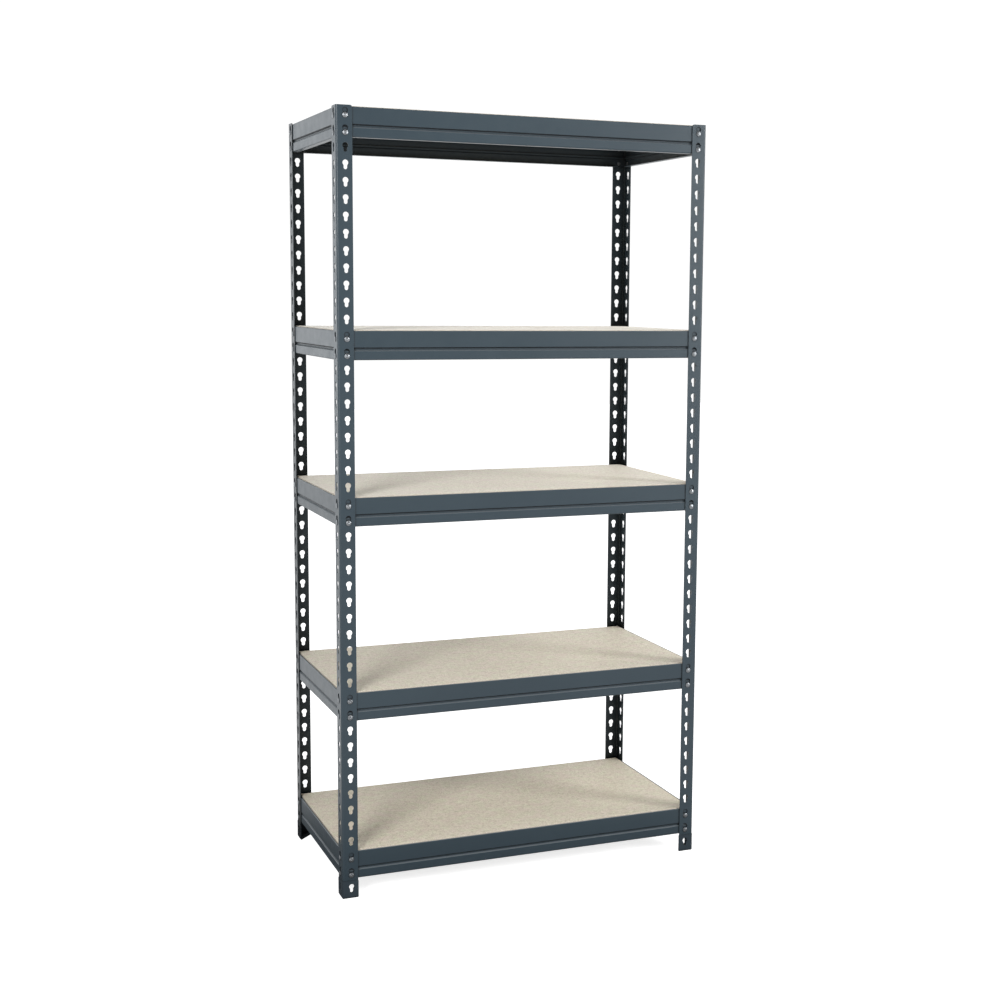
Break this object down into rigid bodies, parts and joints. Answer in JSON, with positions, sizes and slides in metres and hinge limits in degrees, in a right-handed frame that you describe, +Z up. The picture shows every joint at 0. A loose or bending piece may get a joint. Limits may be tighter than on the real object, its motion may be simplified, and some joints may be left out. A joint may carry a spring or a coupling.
{
  "type": "boltless shelving unit",
  "caption": "Free-standing steel shelving: slotted angle posts with foot caps, roll-formed beams hooked in by headed rivets, and a loose particle board on each level.",
  "frame": {"origin": "on the floor, at the middle of the footprint", "axes": "+Z up; +X along the width; the front, one of the two long sides, faces -Y"},
  "size_m": [0.9256, 0.4768, 1.831],
  "materials": {
    "paint": "smooth semi-gloss slate blue-grey powder coat",
    "rivet_steel": "bright zinc-plated steel",
    "chipboard": "raw sanded particle board",
    "foot_cap": "moulded plastic in the colour of the posts"
  },
  "bodies": {
    "uprights": {"post_front_left": "paint", "post_front_right": "paint", "post_rear_left": "paint", "post_rear_right": "paint", "foot_front_left": "foot_cap", "foot_front_right": "foot_cap", "foot_rear_left": "foot_cap", "foot_rear_right": "foot_cap"},
    "level_1": {"beam_1_front": "paint", "beam_1_rear": "paint", "beam_1_left": "paint", "beam_1_right": "paint", "rivets_1": "rivet_steel"},
    "deck_1": {"board_1": "chipboard"},
    "level_2": {"beam_2_front": "paint", "beam_2_rear": "paint", "beam_2_left": "paint", "beam_2_right": "paint", "rivets_2": "rivet_steel"},
    "deck_2": {"board_2": "chipboard"},
    "level_3": {"beam_3_front": "paint", "beam_3_rear": "paint", "beam_3_left": "paint", "beam_3_right": "paint", "rivets_3": "rivet_steel"},
    "deck_3": {"board_3": "chipboard"},
    "level_4": {"beam_4_front": "paint", "beam_4_rear": "paint", "beam_4_left": "paint", "beam_4_right": "paint", "rivets_4": "rivet_steel"},
    "deck_4": {"board_4": "chipboard"},
    "level_5": {"beam_5_front": "paint", "beam_5_rear": "paint", "beam_5_left": "paint", "beam_5_right": "paint", "rivets_5": "rivet_steel"},
    "deck_5": {"board_5": "chipboard"}
  },
  "joints": [
    {"name": "level_1_unhook", "type": "slide", "parent": "uprights", "child": "level_1", "axis": [0, 0, 1], "range_m": [0, 0.0101]},
    {"name": "deck_1_lift", "type": "slide", "parent": "level_1", "child": "deck_1", "axis": [0, 0, 1], "range_m": [0, 0.3]},
    {"name": "level_2_unhook", "type": "slide", "parent": "uprights", "child": "level_2", "axis": [0, 0, 1], "range_m": [0, 0.0101]},
    {"name": "deck_2_lift", "type": "slide", "parent": "level_2", "child": "deck_2", "axis": [0, 0, 1], "range_m": [0, 0.3]},
    {"name": "level_3_unhook", "type": "slide", "parent": "uprights", "child": "level_3", "axis": [0, 0, 1], "range_m": [0, 0.0101]},
    {"name": "deck_3_lift", "type": "slide", "parent": "level_3", "child": "deck_3", "axis": [0, 0, 1], "range_m": [0, 0.3]},
    {"name": "level_4_unhook", "type": "slide", "parent": "uprights", "child": "level_4", "axis": [0, 0, 1], "range_m": [0, 0.0101]},
    {"name": "deck_4_lift", "type": "slide", "parent": "level_4", "child": "deck_4", "axis": [0, 0, 1], "range_m": [0, 0.3]},
    {"name": "level_5_unhook", "type": "slide", "parent": "uprights", "child": "level_5", "axis": [0, 0, 1], "range_m": [0, 0.0101]},
    {"name": "deck_5_lift", "type": "slide", "parent": "level_5", "child": "deck_5", "axis": [0, 0, 1], "range_m": [0, 0.3]}
  ]
}
